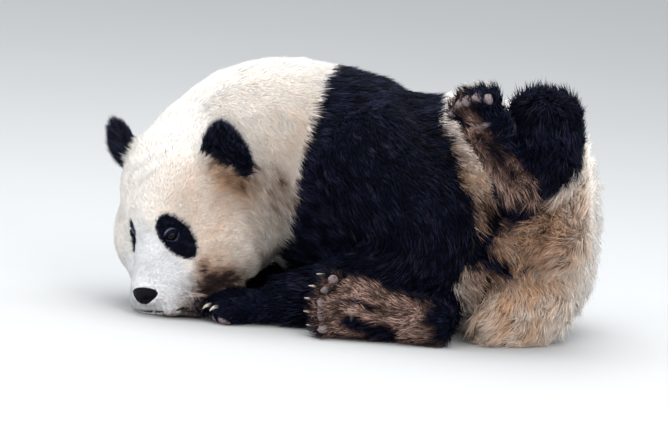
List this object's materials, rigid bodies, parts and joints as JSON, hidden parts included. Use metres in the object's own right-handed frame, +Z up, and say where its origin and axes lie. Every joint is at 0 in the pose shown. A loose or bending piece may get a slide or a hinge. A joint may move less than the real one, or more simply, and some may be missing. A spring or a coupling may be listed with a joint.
{
  "type": "giant panda",
  "caption": "Life-size giant panda resting on its rump, curled forward with its chin on the floor and its left hind leg raised beside its back.",
  "frame": {"origin": "middle of the outline in plan, on the floor the animal rests on", "axes": "+Z up; -X towards the head end and +X towards the rump; -Y on the animal's left, the side of the raised hind leg"},
  "size_m": [0.8958, 0.5552, 0.4971],
  "materials": {
    "white_coat": "matte fur, cream with tan staining low down",
    "face_fur": "matte short fur, cream with black eye patches",
    "black_coat": "slightly glossy black fur",
    "paw_fur": "coarse black-brown fur with bare pads and pale claws",
    "ear_fur": "matte black fur",
    "nose_skin": "moist grained black skin",
    "eye_surface": "wet gloss"
  },
  "bodies": {
    "root": {"head": "face_fur", "neck": "white_coat", "trunk": "white_coat", "tail": "white_coat", "thigh_left": "white_coat", "shoulders": "black_coat", "foreleg_left": "black_coat", "foreleg_right": "black_coat", "hind_leg_left": "black_coat", "hind_leg_right": "black_coat", "forepaw_left": "paw_fur", "forepaw_right": "paw_fur", "hind_foot_left": "paw_fur", "hind_foot_right": "paw_fur", "ear_left": "ear_fur", "ear_right": "ear_fur", "nose": "nose_skin", "eye_left": "eye_surface", "eye_right": "eye_surface"}
  },
  "joints": []
}
